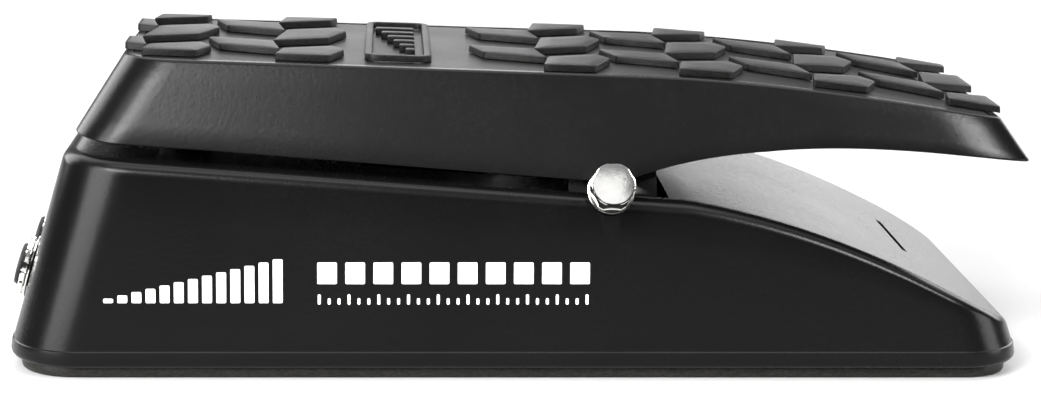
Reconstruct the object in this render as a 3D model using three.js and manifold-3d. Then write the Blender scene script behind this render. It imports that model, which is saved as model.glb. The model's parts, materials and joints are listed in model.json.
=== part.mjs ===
// Volume pedal with a band-driven potentiometer, in millimetres, +Z up.
// +X points to the heel end, -X to the toe end with the jacks, -Y is the user's left side.
// The treadle is modelled toe-down, resting on its toe stops.
import * as THREE from 'three';
import { mergeVertices } from 'three/addons/utils/BufferGeometryUtils.js';
import Module from 'manifold-3d';

const wasm = await Module();
wasm.setup();

// ---------------------------------------------------------------- driving dimensions

const gap = 0.3;                       // space left between pieces that touch
const round = 28;                      // sides of a round piece
const smallRound = 16;                 // sides of a small round piece
const degree = Math.PI / 180;

const matThickness = 2.2;
const matInset = 2.6;                  // the bottom mat is set in from the housing's edge
const plateThickness = 1.5;
const screwHole = 1.8;                 // radius of the hole for a small screw
const screwShank = 1.5;
const beyond = 60;                     // far enough to pass right through the pedal, or over its top

const toeTilt = 16 * degree;           // the toe wall leans back, and the jacks stand square to it

const base = {
  bottom: matThickness + gap,
  toe: -105.9,
  heel: 104.7,
  halfWidth: 48,
  toeLean: Math.tan(toeTilt),
  heelLean: Math.tan(18 * degree),
  sideLean: Math.tan(6 * degree),
  toeRadius: 15,
  heelRadius: 12,
  wall: 3,
};
const deck = { x: 10, z: 38.2, slope: -0.0713 };          // flat top under the treadle
const heelCurve = { start: 34.9, controlX: 68, controlZ: 30.9, end: 101.2, endZ: 10.9 };
const deckOpening = { toe: -32, heel: 30, halfWidth: 28.5 };
const heelSlot = { x: 85.2, width: 1.2, halfLength: 15, low: 12, high: 40 };
const plateBoss = { places: [[-66, -36], [-66, 36], [86, -31], [86, 31]], radius: 4.5, holeDepth: 9 };
const plateScrew = { head: 3.2, headBottom: 0.6, access: 3.6 };

const hinge = { x: 18.8, z: 38.7 };
const axle = { radius: 3, halfLength: 35 };

const block = {                        // toe and heel are distances from the hinge
  toe: 8.2, heel: 9.8, inner: 30.3, outer: 39.9, bottom: 29.7, shoulder: 37.3, top: 46,
  screwY: 35, screwTop: 33,
};
const blockScrew = { shank: 2, head: 3.6, headHeight: 2.6 };
const shelf = { halfLength: 12, inner: 29, thickness: 3.7 };

const skirt = {                        // outer faces of the treadle
  halfWidth: 43,                       // at the height of the rim beside the hinge
  rimZ: 40.4,
  sideAngle: 26 * degree,
  toe: { x: -91, z: 49.5, lean: 0.64, radius: 11 },
  heel: { x: 105.3, z: 43.8, lean: -0.66, radius: 4, reach: 14 },
  wall: 2.8,
  roof: 4,
};
const sideSlope = Math.tan(skirt.sideAngle);
const notchRadius = 5.1;
const seatRadius = 4.3;                // round seat of a pivot bolt, reaching out through the notch
const seatDepth = 9.5;

const tread = { inset: 2.1, recess: 1.9, sheetTop: -0.1, proud: 1.5 };
const ear = { inner: 18.3, outer: 27.7, radius: 8, bore: 4.6, top: 59 };
const bumperRadius = 4.5;

const bolt = {
  acrossFlats: 8.4, headHeight: 5, flangeRadius: 4.9, flange: 0.9,
  faceRadius: 4.5, chamfer: 0.8, shank: 2, shankDepth: 7.6, stand: 0.8,
};

// The drive sector and its arm: start and end are angles about the hinge, in degrees.
const sector = { radius: 36, start: 215, end: 248, halfWidth: 2.5, depth: 8 };
const sectorArm = { start: 222, end: 240, toeRoot: -5, heelRoot: 6, rootZ: 30, toeTop: -6, heelTop: 8 };
const band = { thickness: 0.3, halfWidth: 2.2 };
const drum = { radius: 3, halfWidth: 3 };
const drumAngle = 220;                 // where the drum meets the sector, seen from the hinge
const pot = {
  radius: 8.2, face: 9.8, depth: 8.5, bushing: 3.3, bushingEnd: 5, shaft: 1.6, shaftEnd: 11.7,
};
const bracket = { back: -14, halfWidth: 10, above: 10 };  // above the drum's axis
const potNut = { radius: 5.6, thickness: 2 };

const jack = {
  z: 18.8, spacing: 26, bore: 3.6, boreDepth: 24, bushing: 4.5, proud: 3.3,
  bodyFront: 3.3, bodyBack: 26, bodyHalf: 6.3, washer: 6.6, washerThickness: 0.4, nut: 6.2, nutFace: 2.2,
};
// Pieces on the circuit board: x runs in from the toe wall, heights are above the board.
const circuitBoard = { front: 4, back: 27, halfWidth: 35, thickness: 1.6 };
const trimmer = {
  x: 14.5, y: -13, half: 3.5, height: 5, dial: 2.4, dialTop: 6.8, slot: 0.4, slotBottom: 6.1,
};
const modeSwitch = { x: 14.5, y: 13, halfX: 2.5, halfY: 5, height: 4 };
const slider = { halfX: 1.3, low: -3, high: 0, top: 6.6 };   // low and high from the switch's middle

// ---------------------------------------------------------------- solids and meshes

// Joins the vertices that the faces share, so that the surface is closed.
function sewn(geometry) {
  geometry.deleteAttribute('normal');
  geometry.deleteAttribute('uv');
  return mergeVertices(geometry, 1e-4);
}

function toSolid(geometry) {
  return new wasm.Manifold(new wasm.Mesh({
    numProp: 3,
    vertProperties: new Float32Array(geometry.attributes.position.array),
    triVerts: new Uint32Array(geometry.index.array),
  }));
}

function toGeometry(solid) {
  const mesh = solid.getMesh();
  const geometry = new THREE.BufferGeometry();
  geometry.setAttribute('position', new THREE.BufferAttribute(new Float32Array(mesh.vertProperties), 3));
  geometry.setIndex(new THREE.BufferAttribute(new Uint32Array(mesh.triVerts), 1));
  geometry.computeVertexNormals();
  return geometry;
}

function join(...solids) {
  return solids.reduce((sum, solid) => sum.add(solid));
}

function cut(first, ...tools) {
  return tools.reduce((rest, tool) => rest.subtract(tool), first);
}

function box(xLow, xHigh, yLow, yHigh, zLow, zHigh) {
  const geometry = sewn(new THREE.BoxGeometry(xHigh - xLow, yHigh - yLow, zHigh - zLow));
  geometry.translate((xLow + xHigh) / 2, (yLow + yHigh) / 2, (zLow + zHigh) / 2);
  return toSolid(geometry);
}

// A cylinder from low to high along 'x', 'y' or 'z'; across gives its centre in the other two.
function rod(along, radius, low, high, across = [0, 0], sides = round) {
  const geometry = sewn(new THREE.CylinderGeometry(radius, radius, high - low, sides));
  const middle = (low + high) / 2;
  if (along === 'x') {
    geometry.rotateZ(-Math.PI / 2);
    geometry.translate(middle, across[0], across[1]);
  } else if (along === 'y') {
    geometry.translate(across[0], middle, across[1]);
  } else {
    geometry.rotateX(Math.PI / 2);
    geometry.translate(across[0], across[1], middle);
  }
  return toSolid(geometry);
}

function ring(along, inner, outer, low, high, across = [0, 0], sides = round) {
  const hole = rod(along, inner, low - 1, high + 1, across, sides);
  return cut(rod(along, outer, low, high, across, sides), hole);
}

function extrude(shape, depth) {
  return sewn(new THREE.ExtrudeGeometry(shape, { depth, bevelEnabled: false, curveSegments: 10 }));
}

// A side view (x, z) pulled out along Y.
function prismY(shape, yLow, yHigh) {
  const geometry = extrude(shape, yHigh - yLow);
  geometry.rotateX(Math.PI / 2);
  geometry.translate(0, yHigh, 0);
  return toSolid(geometry);
}

// An end view (y, z) pulled out along X.
function prismX(shape, xLow, xHigh) {
  const geometry = extrude(shape, xHigh - xLow);
  geometry.rotateX(Math.PI / 2);
  geometry.rotateZ(Math.PI / 2);
  geometry.translate(xLow, 0, 0);
  return toSolid(geometry);
}

function polygon(...points) {
  return new THREE.Shape(points.map(([u, v]) => new THREE.Vector2(u, v)));
}

// Counter-clockwise rectangle with its own corner radius at each end. The corners at the high end
// can reach further along x than their radius.
function roundedOutline(xLow, xHigh, halfWidth, lowRadius, highRadius, highReach = highRadius) {
  const steps = 6;
  const corners = [
    [xLow + lowRadius, -halfWidth + lowRadius, lowRadius, lowRadius, 180],
    [xHigh - highReach, -halfWidth + highRadius, highReach, highRadius, 270],
    [xHigh - highReach, halfWidth - highRadius, highReach, highRadius, 0],
    [xLow + lowRadius, halfWidth - lowRadius, lowRadius, lowRadius, 90],
  ];
  return corners.flatMap(([x, y, reach, radius, start]) => (
    Array.from({ length: steps + 1 }, (_, step) => {
      const angle = (start + (90 * step) / steps) * degree;
      return new THREE.Vector2(x + reach * Math.cos(angle), y + radius * Math.sin(angle));
    })
  ));
}

// A closed solid between two outlines that have the same number of points.
function loft(lower, zLow, upper, zHigh) {
  const count = lower.length;
  const positions = [];
  lower.forEach((point) => positions.push(point.x, point.y, zLow));
  upper.forEach((point) => positions.push(point.x, point.y, zHigh));
  const faces = [];
  for (let i = 0; i < count; i += 1) {
    const next = (i + 1) % count;
    faces.push(i, next, count + next, i, count + next, count + i);
  }
  THREE.ShapeUtils.triangulateShape(lower, []).forEach(([a, b, c]) => {
    faces.push(a, c, b, count + a, count + b, count + c);
  });
  const geometry = new THREE.BufferGeometry();
  geometry.setAttribute('position', new THREE.Float32BufferAttribute(positions, 3));
  geometry.setIndex(faces);
  return toSolid(geometry);
}

// ---------------------------------------------------------------- materials

function material(color, roughness, metalness) {
  return new THREE.MeshStandardMaterial({ color, roughness, metalness });
}

const paint = () => material(0x17181a, 0.42, 0.2);
const darkPaint = () => material(0x0d0d0e, 0.55, 0.2);
const rubber = () => material(0x141414, 0.85, 0);
const chrome = () => material(0xd9d9d6, 0.12, 1);
const zincSteel = () => material(0x9a9c9e, 0.35, 1);
const bronze = () => material(0xa9793d, 0.4, 1);
const aluminium = () => material(0xa5a7a9, 0.45, 1);
const blackPlastic = () => material(0x101112, 0.5, 0);
const whitePlastic = () => material(0xe8e6df, 0.45, 0);
const board = () => material(0x1f5a34, 0.5, 0);

const pedal = new THREE.Group();
const toeGroup = new THREE.Group();    // its x axis runs square through the toe wall, inwards

function piece(name, solid, look, parent = pedal) {
  const mesh = new THREE.Mesh(toGeometry(solid), look);
  mesh.name = name;
  parent.add(mesh);
  return mesh;
}

// Calls make(side, name) for the user's left (-Y) and right (+Y).
function bothSides(make) {
  make(-1, 'left');
  make(1, 'right');
}

// ---------------------------------------------------------------- base

const deckHeight = (x) => deck.z + deck.slope * (x - deck.x);
const toeWallX = (z) => base.toe + (z - base.bottom) * base.toeLean;

function baseOutline(z, inset) {
  const rise = z - base.bottom;
  return roundedOutline(
    toeWallX(z) + inset,
    base.heel - rise * base.heelLean - inset,
    base.halfWidth - rise * base.sideLean - inset,
    base.toeRadius - inset,
    base.heelRadius - inset,
  );
}

// Height profile of the housing, lowered by drop and reaching down to floor.
function baseProfile(drop, floor) {
  const reach = 108;
  const tailSlope = (heelCurve.endZ - heelCurve.controlZ) / (heelCurve.end - heelCurve.controlX);
  const shape = new THREE.Shape();
  shape.moveTo(-reach, floor);
  shape.lineTo(reach, floor);
  shape.lineTo(reach, heelCurve.endZ + tailSlope * (reach - heelCurve.end) - drop);
  shape.lineTo(heelCurve.end, heelCurve.endZ - drop);
  shape.quadraticCurveTo(
    heelCurve.controlX, heelCurve.controlZ - drop,
    heelCurve.start, deckHeight(heelCurve.start) - drop,
  );
  shape.lineTo(-reach, deckHeight(-reach) - drop);
  return prismY(shape, -beyond, beyond);
}

function baseBody(inset, floor) {
  const walls = loft(baseOutline(floor, inset), floor, baseOutline(beyond, inset), beyond);
  return walls.intersect(baseProfile(inset, floor - 1));
}

const plateTop = base.bottom + plateThickness;

// One rod at the place of each base plate screw.
function plateRods(radius, low, high, sides = smallRound) {
  return plateBoss.places.map(([x, y]) => rod('z', radius, low, high, [x, y], sides));
}

function housingSolid() {
  const outside = baseBody(0, base.bottom);
  const inside = baseBody(base.wall, base.bottom - 1);
  const bosses = plateRods(plateBoss.radius, plateTop + gap, beyond, round);
  const shelves = [-1, 1].map((side) => box(
    hinge.x - shelf.halfLength, hinge.x + shelf.halfLength,
    Math.min(side * shelf.inner, side * base.halfWidth), Math.max(side * shelf.inner, side * base.halfWidth),
    block.bottom - gap - shelf.thickness, block.bottom - gap,
  ));
  const fill = join(...bosses, ...shelves).intersect(baseBody(base.wall / 2, base.bottom));
  const pockets = box(
    hinge.x - block.toe - gap, hinge.x + block.heel + gap, -block.outer - gap, block.outer + gap,
    block.bottom - gap, beyond,
  );
  const opening = box(
    deckOpening.toe, deckOpening.heel, -deckOpening.halfWidth, deckOpening.halfWidth,
    block.bottom - gap, beyond,
  );
  const slot = box(
    heelSlot.x - heelSlot.width / 2, heelSlot.x + heelSlot.width / 2,
    -heelSlot.halfLength, heelSlot.halfLength, heelSlot.low, heelSlot.high,
  );
  const bossHoles = plateRods(screwHole, plateTop, plateTop + plateBoss.holeDepth);
  const blockScrewHoles = [-1, 1].map((side) => (
    blockScrewRod(blockScrew.shank + gap, 0, block.bottom, side)
  ));
  const throughWall = 2 * base.wall;
  const jackHoles = [-1, 0, 1].map((place) => (
    rod('x', jack.bushing + gap, -throughWall, throughWall, [place * jack.spacing, 0])
  )).map((hole) => hole.rotate([0, toeTilt / degree, 0]).translate([toeWallX(jack.z), 0, jack.z]));
  const seatReliefs = [-1, 1].map((side) => (
    onSkirt(rod('y', seatRadius + gap, -throughWall, seatDepth), side)
  ));
  return cut(
    join(cut(outside, inside), fill),
    pockets, opening, slot, ...seatReliefs, ...bossHoles, ...blockScrewHoles, ...jackHoles,
  );
}

function addBase() {
  piece('base_housing', housingSolid(), paint());

  const plateInset = base.wall + gap;
  const plateOutline = baseOutline(plateTop, plateInset);
  const plate = loft(plateOutline, base.bottom, plateOutline, plateTop);
  piece('base_plate', cut(plate, ...plateRods(screwHole, 0, beyond)), zincSteel());

  const matOutline = baseOutline(base.bottom, matInset);
  const mat = loft(matOutline, 0, matOutline, matThickness);
  piece('bottom_mat', cut(mat, ...plateRods(plateScrew.access, -1, beyond)), rubber());

  const heads = plateRods(plateScrew.head, plateScrew.headBottom, matThickness);
  const shanks = plateRods(screwShank, plateScrew.headBottom, plateTop + plateBoss.holeDepth - gap);
  heads.forEach((head, index) => {
    piece(`base_plate_screw_${index + 1}`, join(head, shanks[index]), zincSteel());
  });
}

// ---------------------------------------------------------------- treadle

function treadleOutline(z, inset) {
  return roundedOutline(
    skirt.toe.x + (z - skirt.toe.z) * skirt.toe.lean + inset,
    skirt.heel.x + (z - skirt.heel.z) * skirt.heel.lean - inset,
    skirt.halfWidth - (z - skirt.rimZ) * sideSlope - inset,
    skirt.toe.radius - inset,
    skirt.heel.radius - inset,
    skirt.heel.reach - inset,
  );
}

function treadleEnvelope(inset) {
  const low = 30;
  const high = 70;
  return loft(treadleOutline(low, inset), low, treadleOutline(high, inset), high);
}

// Top line of the treadle from toe to heel: straight, then bending down past the hinge.
const topLine = {
  start: [-100, 64.9], bend: [28, 60.7], control: [60, 59.4], end: [104, 51.6], tail: [115, 49.6],
};

// Lower edge of the skirt from heel to toe: over the heel deck, down to the hinge, up to the toe.
const rimLine = {
  tail: [115, 42.6], heel: [105, 43.8], crown: [72, 48.2], rise: [50, 46.2], bend: [33, 45],
  hinge: [21, 40.3], toe: [-83, 47.7], start: [-100, 49.7],
};

function drawTop(shape, lift) {
  const { start, bend, control, end, tail } = topLine;
  shape.lineTo(start[0], start[1] + lift);
  shape.lineTo(bend[0], bend[1] + lift);
  shape.quadraticCurveTo(control[0], control[1] + lift, end[0], end[1] + lift);
  shape.lineTo(tail[0], tail[1] + lift);
}

// The layer between two heights measured from the top line.
function topLayer(low, high) {
  const { start, bend, control, end, tail } = topLine;
  const shape = new THREE.Shape();
  shape.moveTo(start[0], start[1] + low);
  drawTop(shape, high);
  shape.lineTo(tail[0], tail[1] + low);
  shape.lineTo(end[0], end[1] + low);
  shape.quadraticCurveTo(control[0], control[1] + low, bend[0], bend[1] + low);
  return prismY(shape, -beyond, beyond);
}

function treadleProfile() {
  const shape = new THREE.Shape();
  shape.moveTo(...rimLine.start);
  drawTop(shape, 0);
  shape.lineTo(...rimLine.tail);
  shape.lineTo(...rimLine.heel);
  shape.quadraticCurveTo(...rimLine.crown, ...rimLine.rise);
  shape.quadraticCurveTo(...rimLine.bend, ...rimLine.hinge);
  shape.lineTo(...rimLine.toe);
  return prismY(shape, -beyond, beyond);
}

function treadleCavity() {
  const shape = new THREE.Shape();
  shape.moveTo(topLine.start[0], 0);
  drawTop(shape, -skirt.roof);
  shape.lineTo(topLine.tail[0], 0);
  return prismY(shape, -beyond, beyond).intersect(treadleEnvelope(skirt.wall));
}

const rib = { halfWidth: 3, bottom: 50.3, bumperY: 22 };
const toeRibX = -70;
const heelRibX = 78;
const heelBumperBottom = 45.1;
const sectorBoss = { places: [-6, 10], radius: 3.6, holeTop: 58.3 };
const sectorFlange = { toe: -11, heel: 15, halfWidth: 8, top: 54.2, thickness: 2.5 };
const sectorScrew = { head: 2.8, headHeight: 2.2, headRoom: 3.2, top: 58 };

// One rod at the place of each sector screw.
function sectorRods(radius, low, high, sides = smallRound) {
  return sectorBoss.places.map((x) => rod('z', radius, low, high, [x, 0], sides));
}

function earSolid(side) {
  const low = side > 0 ? ear.inner : -ear.outer;
  const high = side > 0 ? ear.outer : -ear.inner;
  const upright = box(hinge.x - ear.radius, hinge.x + ear.radius, low, high, hinge.z, ear.top);
  return join(upright, rod('y', ear.radius, low, high, [hinge.x, hinge.z]));
}

function treadleSolid() {
  const outside = treadleProfile().intersect(treadleEnvelope(0));
  const shell = cut(outside, treadleCavity());
  const ribs = [toeRibX, heelRibX].map((x) => (
    box(x - rib.halfWidth, x + rib.halfWidth, -beyond, beyond, rib.bottom, 1.5 * beyond)
  ));
  const bosses = sectorRods(sectorBoss.radius, sectorFlange.top + gap, beyond, round);
  const earReach = ear.outer + 1;
  const eyes = rod('y', ear.radius, -earReach, earReach, [hinge.x, hinge.z]);
  const inner = join(...ribs, ...bosses, earSolid(-1), earSolid(1))
    .intersect(join(treadleEnvelope(skirt.wall / 2), eyes))
    .intersect(topLayer(-beyond, -tread.recess - gap));
  const recess = topLayer(-tread.recess, beyond).intersect(treadleEnvelope(tread.inset - gap));
  const notches = [-1, 1].map((side) => onSkirt(rod('y', notchRadius, -8, 8), side));
  const earBore = rod('y', ear.bore, -earReach, earReach, [hinge.x, hinge.z]);
  const screwHoles = sectorRods(screwHole, rib.bottom, sectorBoss.holeTop);
  return cut(join(shell, inner), recess, ...notches, earBore, ...screwHoles);
}

// Tread blocks stand in a staggered lattice of lanes that run from toe to heel. Even lanes hold
// four-sided blocks, odd lanes hold five-sided ones. Corners are given from the block's own centre.
const lattice = { pitch: 28, lanePitch: 13.5 };
const laneSteps = [-3, -2, 0, 1, 2, 3];
const evenLanes = { places: [-1, 1], start: -0.5 };
const oddLanes = { places: [-2, 0, 2], start: 12.5 };
const evenBlock = [[-5.6, -2.5], [7.4, -7], [5.5, 3.9], [-8.6, 6.6]];
const oddBlock = [[-7.6, -8.9], [4, -3.3], [7.9, 7.8], [5.5, 12.7], [-5.2, 7.4]];
// The blocks are trimmed to this outline, which reaches out over the treadle's edge at the toe.
const blockBounds = {
  toe: -81.8, heel: 101, radius: 5, toeHalf: 32.6, waistX: 10, waistHalf: 30.4, heelHalf: 34.6,
};
const plaque = { x: -24.3, halfLength: 7, halfWidth: 25, radius: 3, frame: 1.6 };
const scaleBars = { count: 6, pitch: 6, width: 2.4, shortest: 2, growth: 1.3, foot: 3.6 };

function upright(shape) {
  const geometry = extrude(shape, beyond);
  geometry.translate(0, 0, hinge.z);
  return toSolid(geometry);
}

function treadBlock(corners, x, y) {
  return upright(polygon(...corners.map(([u, v]) => [x + u, y + v])));
}

function laneBlocks(lanes, corners) {
  return lanes.places.flatMap((place) => laneSteps.map((step) => (
    treadBlock(corners, lanes.start + step * lattice.pitch, place * lattice.lanePitch)
  )));
}

function plaqueOutline(inset) {
  return new THREE.Shape(roundedOutline(
    plaque.x - plaque.halfLength + inset, plaque.x + plaque.halfLength - inset,
    plaque.halfWidth - inset, plaque.radius - inset, plaque.radius - inset,
  ));
}

// A rounded frame around a row of bars that grow like a volume scale.
function plaqueSolids() {
  const frame = cut(upright(plaqueOutline(0)), upright(plaqueOutline(plaque.frame)));
  const foot = plaque.x + scaleBars.foot;
  const bars = Array.from({ length: scaleBars.count }, (_, step) => {
    const y = (step - (scaleBars.count - 1) / 2) * scaleBars.pitch;
    const length = scaleBars.shortest + step * scaleBars.growth;
    const half = scaleBars.width / 2;
    return box(foot - length, foot, y - half, y + half, hinge.z, 2 * hinge.z);
  });
  return [frame, ...bars];
}

function blockOutline() {
  const { toe, heel, radius, toeHalf, waistX, waistHalf, heelHalf } = blockBounds;
  const leftSide = [
    [toe, radius - toeHalf], [toe + radius, -toeHalf], [waistX, -waistHalf],
    [heel - radius, -heelHalf], [heel, radius - heelHalf],
  ];
  const rightSide = leftSide.map(([x, y]) => [x, -y]).reverse();
  return polygon(...leftSide, ...rightSide);
}

function treadMatSolid() {
  const sheet = topLayer(gap - tread.recess, tread.sheetTop).intersect(treadleEnvelope(tread.inset));
  const blocks = [...laneBlocks(evenLanes, evenBlock), ...laneBlocks(oddLanes, oddBlock)];
  const raised = join(...blocks, ...plaqueSolids()).intersect(upright(blockOutline()));
  const inside = raised
    .intersect(topLayer(-tread.recess / 2, tread.proud))
    .intersect(treadleEnvelope(tread.inset));
  const overhang = raised.intersect(topLayer(gap, tread.proud));
  return join(sheet, inside, overhang);
}

function bumper(x, y, low, high) {
  return rod('z', bumperRadius, low, high, [x, y], smallRound);
}

function addTreadle() {
  piece('treadle', treadleSolid(), paint());
  piece('tread_mat', treadMatSolid(), rubber());
  bothSides((side, name) => {
    const low = side > 0 ? ear.inner - 1 : -ear.outer - 1;
    const high = side > 0 ? ear.outer + 1 : -ear.inner + 1;
    const sleeve = ring('y', axle.radius + gap, ear.bore - gap, low, high, [hinge.x, hinge.z]);
    piece(`pivot_bushing_${name}`, sleeve, bronze());
    const bumperTop = rib.bottom - gap;
    const toeLow = deckHeight(toeRibX - bumperRadius) + gap;
    const y = side * rib.bumperY;
    piece(`heel_bumper_${name}`, bumper(heelRibX, y, heelBumperBottom, bumperTop), rubber());
    piece(`toe_bumper_${name}`, bumper(toeRibX, y, toeLow, bumperTop), rubber());
  });
}

// ---------------------------------------------------------------- pivot

// Outer face of a pivot block: upright to the shoulder, then leaning in beside the skirt.
function blockOuter(z) {
  return block.outer - Math.max(0, z - block.shoulder) * sideSlope;
}

// Places a solid made along -Y, with its seat at y = 0, square to the leaning skirt.
function onSkirt(solid, side) {
  const leftSide = solid
    .rotate([-skirt.sideAngle / degree, 0, 0])
    .translate([hinge.x, -(skirt.halfWidth + (skirt.rimZ - hinge.z) * sideSlope), hinge.z]);
  return side < 0 ? leftSide : leftSide.mirror([0, 1, 0]);
}

function blockScrewRod(radius, low, high, side) {
  return rod('z', radius, low, high, [hinge.x, side * block.screwY], smallRound);
}

function pivotBlockSolid(side) {
  const face = polygon(
    [block.inner, block.bottom],
    [block.outer, block.bottom],
    [block.outer, block.shoulder],
    [blockOuter(block.top), block.top],
    [block.inner, block.top],
  );
  const rightBlock = prismX(face, hinge.x - block.toe, hinge.x + block.heel);
  const body = side > 0 ? rightBlock : rightBlock.mirror([0, 1, 0]);
  const seat = onSkirt(rod('y', seatRadius, gap - bolt.stand, bolt.shankDepth), side);
  const boltHole = onSkirt(
    rod('y', bolt.shank + gap, -bolt.headHeight, bolt.shankDepth + 1, [0, 0], smallRound), side,
  );
  const boreReach = axle.halfLength + gap;
  const axleBore = rod('y', axle.radius + gap, -boreReach, boreReach, [hinge.x, hinge.z]);
  const threadedHole = blockScrewRod(blockScrew.shank + gap, 0, block.screwTop + gap, side);
  return cut(join(body, seat), boltHole, axleBore, threadedHole);
}

function pivotBoltSolid(side) {
  const flange = rod('y', bolt.flangeRadius, -bolt.stand - bolt.flange, -bolt.stand);
  const hexTop = -bolt.stand - bolt.flange - bolt.headHeight;
  const corner = bolt.acrossFlats / Math.sqrt(3);
  const hexGeometry = sewn(
    new THREE.CylinderGeometry(corner, corner, bolt.headHeight, 6, 1, false, Math.PI / 6),
  );
  hexGeometry.translate(0, hexTop + bolt.headHeight / 2, 0);
  const chamfer = sewn(
    new THREE.CylinderGeometry(bolt.faceRadius + 2 * bolt.chamfer, bolt.faceRadius, bolt.chamfer, round),
  );
  chamfer.translate(0, hexTop + bolt.chamfer / 2, 0);
  const belowChamfer = rod('y', 2 * corner, hexTop + bolt.chamfer / 2, 0);
  const chamferAndBelow = join(toSolid(chamfer), belowChamfer);
  const head = toSolid(hexGeometry).intersect(chamferAndBelow);
  const shank = rod('y', bolt.shank, -bolt.stand - bolt.flange, bolt.shankDepth, [0, 0], smallRound);
  return onSkirt(join(head, flange, shank), side);
}

function addPivot() {
  const axleRod = rod('y', axle.radius, -axle.halfLength, axle.halfLength, [hinge.x, hinge.z]);
  piece('pivot_axle', axleRod, zincSteel());
  bothSides((side, name) => {
    piece(`pivot_block_${name}`, pivotBlockSolid(side), darkPaint());
    piece(`pivot_bolt_${name}`, pivotBoltSolid(side), chrome());
    const under = block.bottom - gap - shelf.thickness - gap;
    const head = blockScrewRod(blockScrew.head, under - blockScrew.headHeight, under, side);
    const shank = blockScrewRod(blockScrew.shank, under - blockScrew.headHeight, block.screwTop, side);
    piece(`pivot_block_screw_${name}`, join(head, shank), zincSteel());
  });
}

// ---------------------------------------------------------------- band drive

function arcPoints(radius, fromDegrees, toDegrees, steps) {
  return Array.from({ length: steps + 1 }, (_, step) => {
    const angle = (fromDegrees + ((toDegrees - fromDegrees) * step) / steps) * degree;
    return [hinge.x + radius * Math.cos(angle), hinge.z + radius * Math.sin(angle)];
  });
}

const bandRadius = sector.radius + gap + band.thickness;
const loopRadius = drum.radius + gap + band.thickness;
const drumDistance = bandRadius + loopRadius + gap;
const drumCentre = [
  hinge.x + drumDistance * Math.cos(drumAngle * degree),
  hinge.z + drumDistance * Math.sin(drumAngle * degree),
];

function driveSectorSolid() {
  const { toe, heel, halfWidth, top, thickness } = sectorFlange;
  const armTop = top - thickness / 2;
  const fan = polygon(
    ...arcPoints(sector.radius, sector.start, sector.end, 12),
    ...arcPoints(sector.radius - sector.depth, sector.end, sectorArm.end, 2),
    [sectorArm.heelRoot, sectorArm.rootZ], [sectorArm.heelTop, armTop],
    [sectorArm.toeTop, armTop], [sectorArm.toeRoot, sectorArm.rootZ],
    ...arcPoints(sector.radius - sector.depth, sectorArm.start, sector.start, 2),
  );
  const flange = box(toe, heel, -halfWidth, halfWidth, top - thickness, top);
  const under = top - thickness;
  const holes = sectorRods(screwHole, under - sectorScrew.headHeight, beyond);
  const screwRoom = sectorRods(sectorScrew.headRoom, under - sectorScrew.headHeight - 4 * gap, under, round);
  return cut(join(prismY(fan, -sector.halfWidth, sector.halfWidth), flange), ...holes, ...screwRoom);
}

function driveBandSolid() {
  const strip = polygon(
    ...arcPoints(bandRadius, sector.start, sector.end, 12),
    ...arcPoints(bandRadius - band.thickness, sector.end, sector.start, 12),
  );
  return prismY(strip, -band.halfWidth, band.halfWidth);
}

function addDrive() {
  piece('drive_sector', driveSectorSolid(), aluminium());
  piece('drive_band', driveBandSolid(), zincSteel());
  const under = sectorFlange.top - sectorFlange.thickness - gap;
  const shanks = sectorRods(screwShank, under - sectorScrew.headHeight, sectorScrew.top);
  sectorRods(sectorScrew.head, under - sectorScrew.headHeight, under).forEach((head, index) => {
    piece(`sector_screw_${index + 1}`, join(head, shanks[index]), zincSteel());
  });

  const { radius, halfWidth } = drum;
  piece('drive_drum', ring('y', pot.shaft + gap, radius, -halfWidth, halfWidth, drumCentre), aluminium());
  const loop = ring('y', radius + gap, loopRadius, -band.halfWidth, band.halfWidth, drumCentre);
  piece('band_loop', loop, zincSteel());
  const shaft = rod('y', pot.shaft, -halfWidth - 1, pot.shaftEnd, drumCentre, smallRound);
  piece('pot_shaft', shaft, zincSteel());

  const can = rod('y', pot.radius, pot.face, pot.face + pot.depth, drumCentre);
  const bushing = rod('y', pot.bushing, pot.bushingEnd, pot.face + 1, drumCentre);
  const shaftBore = rod('y', pot.shaft + gap, pot.bushingEnd - 1, pot.shaftEnd + gap, drumCentre, smallRound);
  piece('potentiometer', cut(join(can, bushing), shaftBore), aluminium());

  const [x, z] = drumCentre;
  const plateLow = pot.face - gap - plateThickness;
  const bracketFoot = plateTop + gap;
  const plateHigh = pot.face - gap;
  const angle = polygon(
    [bracket.back, bracketFoot], [plateHigh, bracketFoot], [plateHigh, z + bracket.above],
    [plateLow, z + bracket.above], [plateLow, bracketFoot + plateThickness],
    [bracket.back, bracketFoot + plateThickness],
  );
  const bushingHole = rod('y', pot.bushing + gap, 0, pot.shaftEnd, drumCentre);
  const bracketPlate = prismX(angle, x - bracket.halfWidth, x + bracket.halfWidth);
  piece('pot_bracket', cut(bracketPlate, bushingHole), zincSteel());
  const nut = sewn(new THREE.CylinderGeometry(potNut.radius, potNut.radius, potNut.thickness, 6));
  nut.translate(x, plateLow - gap - potNut.thickness / 2, z);
  piece('pot_nut', cut(toSolid(nut), bushingHole), zincSteel());
}

// ---------------------------------------------------------------- jacks and circuit board

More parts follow.
